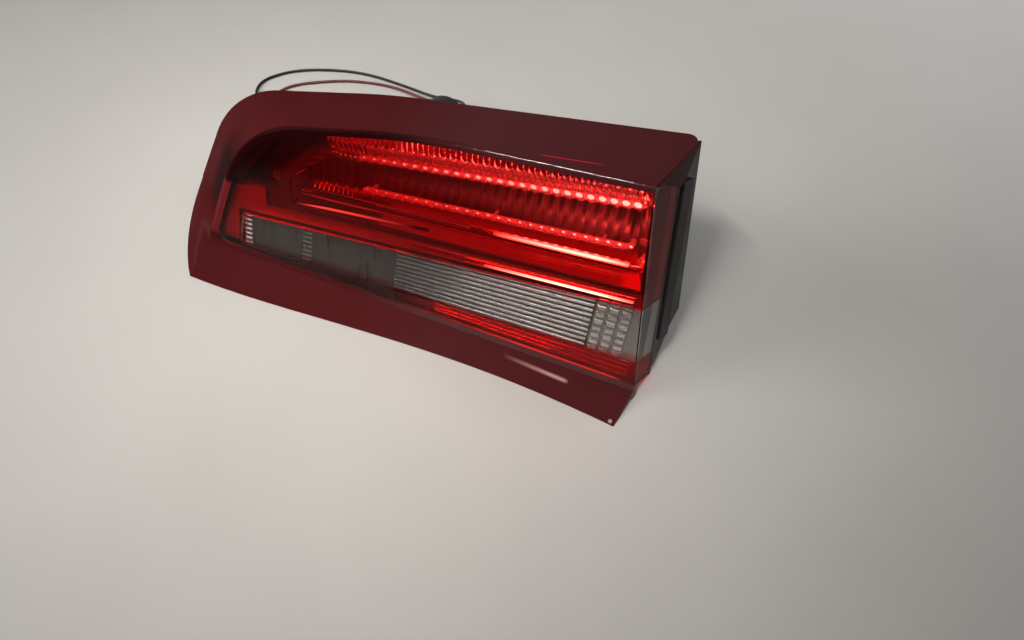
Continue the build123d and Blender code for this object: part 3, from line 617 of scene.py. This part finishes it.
deep = blend(tree, over_panel, deep, (0.13, 0.014, 0.016))
chip = tree.nodes.new("ShaderNodeVectorMath")
chip.operation = "DISTANCE"
chip.inputs[1].default_value = (0.1476, -0.0745, 0.0)
tree.links.new(spots.outputs["Object"], chip.inputs[0])
chipped = place(tree, "MapRange", From_Min=0.0015, From_Max=0.0008)
tree.links.new(chip.outputs["Value"], chipped.inputs["Value"])
tree.links.new(blend(tree, chipped.outputs["Result"], deep, (0.5, 0.34, 0.31)), shader.inputs["Base Color"])
# A thin red line on the top of the band: a painted highlight.
streak_line = window_in - sideways * 0.0696
painted_streak = where(
    tree,
    (streak_line, 0.0028, 0.0033),
    (streak_line, 0.0040, 0.0035),
    (sideways, 0.042, 0.047),
    (sideways, 0.080, 0.070),
    (window_up, 0.120, 0.122),
)
painted_gleam = ramp(tree, painted_streak, [(0.0, (0, 0, 0, 1)), (1.0, (0.42, 0.004, 0.012, 1))])
# A bright red line along the sill under the window: a painted highlight.
painted_sill_line = where(
    tree,
    (window_up, 0.0176, 0.0174),
    (window_up, 0.0164, 0.0168),
    (window_in, 0.0034, 0.0030),
    (window_in, 0.0001, 0.0010),
    (sideways, -0.01, 0.06),
    (sideways, 0.117, 0.112),
)
painted_gleam = blend(tree, painted_sill_line, painted_gleam, (0.75, 0.12, 0.1))
# A pale patch along the lip's upper edge: a painted highlight.
lip_line = window_in + sideways * 0.0446
painted_lip_highlight = where(
    tree,
    (lip_line, -0.0031, -0.0019),
    (lip_line, -0.0007, -0.0019),
    (sideways, 0.048, 0.078),
    (sideways, 0.0895, 0.0865),
    (window_up, 0.014, 0.012),
)
tree.links.new(blend(tree, painted_lip_highlight, painted_gleam, (0.5, 0.29, 0.27)), shader.inputs["Emission Color"])
shader.inputs["Emission Strength"].default_value = 1.0
shader.inputs["Specular IOR Level"].default_value = 0.0
shader.inputs["Roughness"].default_value = 0.4
shader.inputs["Coat Roughness"].default_value = 0.06
polished = lamp_mask(tree, sideways, -0.05, 0.005)
shine = ramp(tree, polished, [(0.0, (0.03, 0.03, 0.03, 1)), (1.0, (1, 1, 1, 1))])
tree.links.new(shine, shader.inputs["Coat Weight"])
dress("lens_band", band_lens)

# End of the lens: the burgundy shot turns round the upper right corner as a thin web,
# and a pale diffuser strip is glued behind the rear half of the lens wall.
end_place = 0.1276
end_fall = 0.1664
end_flare = 0.3386
end_slope = sideways + window_up * end_fall - window_in * end_flare


def on_end(v, depth, out):
    flat = in_lamp(end_place - end_fall * v + end_flare * depth, v, depth)
    return flat + end_slope.normalized() * out


def end_plate(name, corners, inner, outer, material):
    plate = bmesh.new()
    outline = plate.faces.new([plate.verts.new(on_end(v, depth, inner)) for v, depth in corners])
    drawn = bmesh.ops.extrude_face_region(plate, geom=[outline])
    far = [made for made in drawn["geom"] if isinstance(made, bmesh.types.BMVert)]
    bmesh.ops.translate(plate, verts=far, vec=end_slope.normalized() * (outer - inner))
    return finish_piece(name, plate, material, False)


web_wine, tree, shader = moulded(
    "web_wine", (0.045, 0.0035, 0.006), (0.055, 0.0045, 0.007), 500, 0.4, 0.5, 0.05
)
shader.inputs["Specular IOR Level"].default_value = 0.1
end_plate(
    "band_web",
    [(0.1335, 0.0005), (0.1320, 0.010), (0.1275, 0.024), (0.1285, 0.0275), (0.1480, 0.0405), (0.1440, 0.030)],
    0.00005,
    0.0007,
    web_wine,
)
# A black sheet behind the front half of the lens wall stands in for the dark inner end wall and the shade
# there, and keeps light from passing through the gap.
end_plate(
    "end_shade",
    [(0.131, 0.0034), (0.0185, 0.0034), (0.0185, 0.0055), (0.060, 0.0124), (0.100, 0.0164), (0.131, 0.0179)],
    -0.00228,
    -0.00206,
    rubber_black,
)
diffuser_pale, tree, shader = moulded(
    "diffuser_pale", (0.2, 0.19, 0.165), (0.26, 0.245, 0.215), 900, 0.4, 0.55, 0.1
)
end_plate(
    "end_diffuser",
    [(0.130, 0.018), (0.100, 0.0165), (0.060, 0.0125), (0.020, 0.006), (0.020, 0.0155), (0.130, 0.0265)],
    -0.00228,
    -0.00206,
    diffuser_pale,
)

# Leads: two thin stranded wires in soft vinyl, black and red, out of the boot and down
# to the table behind the lamp, round and back to a two-way connector that is out of sight.
plug_grey, tree, shader = moulded("plug_grey", (0.08, 0.08, 0.082), (0.12, 0.12, 0.122), 900, 0.35, 0.5, 0.2)
dress("wire_connector", plug_grey)


def lead(name, node, low, high, points):
    curve = bpy.data.curves.new(name, "CURVE")
    curve.dimensions = "3D"
    curve.bevel_depth = 0.00095
    curve.bevel_resolution = 4
    curve.resolution_u = 16
    curve.use_fill_caps = True
    spline = curve.splines.new("NURBS")
    spline.points.add(len(points) - 1)
    for made, spot in zip(spline.points, points):
        made.co = (*spot, 1)
    spline.order_u = 3
    spline.use_endpoint_u = True
    vinyl, tree, shader = moulded(name + "_vinyl", low, high, 700, 0.34, 0.5, 0.12)
    curve.materials.append(vinyl)
    wire = bpy.data.objects.new(name, curve)
    bpy.context.scene.collection.objects.link(wire)
    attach(wire, "root")
    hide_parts(node)
    return wire


lead(
    "black_lead",
    "black_wire",
    (0.009, 0.009, 0.009),
    (0.016, 0.016, 0.016),
    [
        (-0.0107, 0.0771, 0.0366),
        (-0.0107, 0.0915, 0.0295),
        (-0.0242, 0.1077, 0.0150),
        (-0.0472, 0.1157, 0.0025),
        (-0.0752, 0.1197, 0.0010),
        (-0.1072, 0.1207, 0.0010),
        (-0.1372, 0.1127, 0.0010),
        (-0.1612, 0.1002, 0.0010),
        (-0.1752, 0.0807, 0.0010),
        (-0.1584, 0.0590, 0.0030),
        (-0.1521, 0.0465, 0.0030),
    ],
)
lead(
    "red_lead",
    "red_wire",
    (0.13, 0.02, 0.028),
    (0.19, 0.032, 0.042),
    [
        (-0.0157, 0.0771, 0.0366),
        (-0.0157, 0.0915, 0.0295),
        (-0.0292, 0.1032, 0.0150),
        (-0.0512, 0.1107, 0.0025),
        (-0.0792, 0.1162, 0.0010),
        (-0.1092, 0.1112, 0.0010),
        (-0.1342, 0.0997, 0.0010),
        (-0.1512, 0.0882, 0.0010),
        (-0.1572, 0.0747, 0.0010),
        (-0.1545, 0.0610, 0.0030),
        (-0.1482, 0.0485, 0.0030),
    ],
)
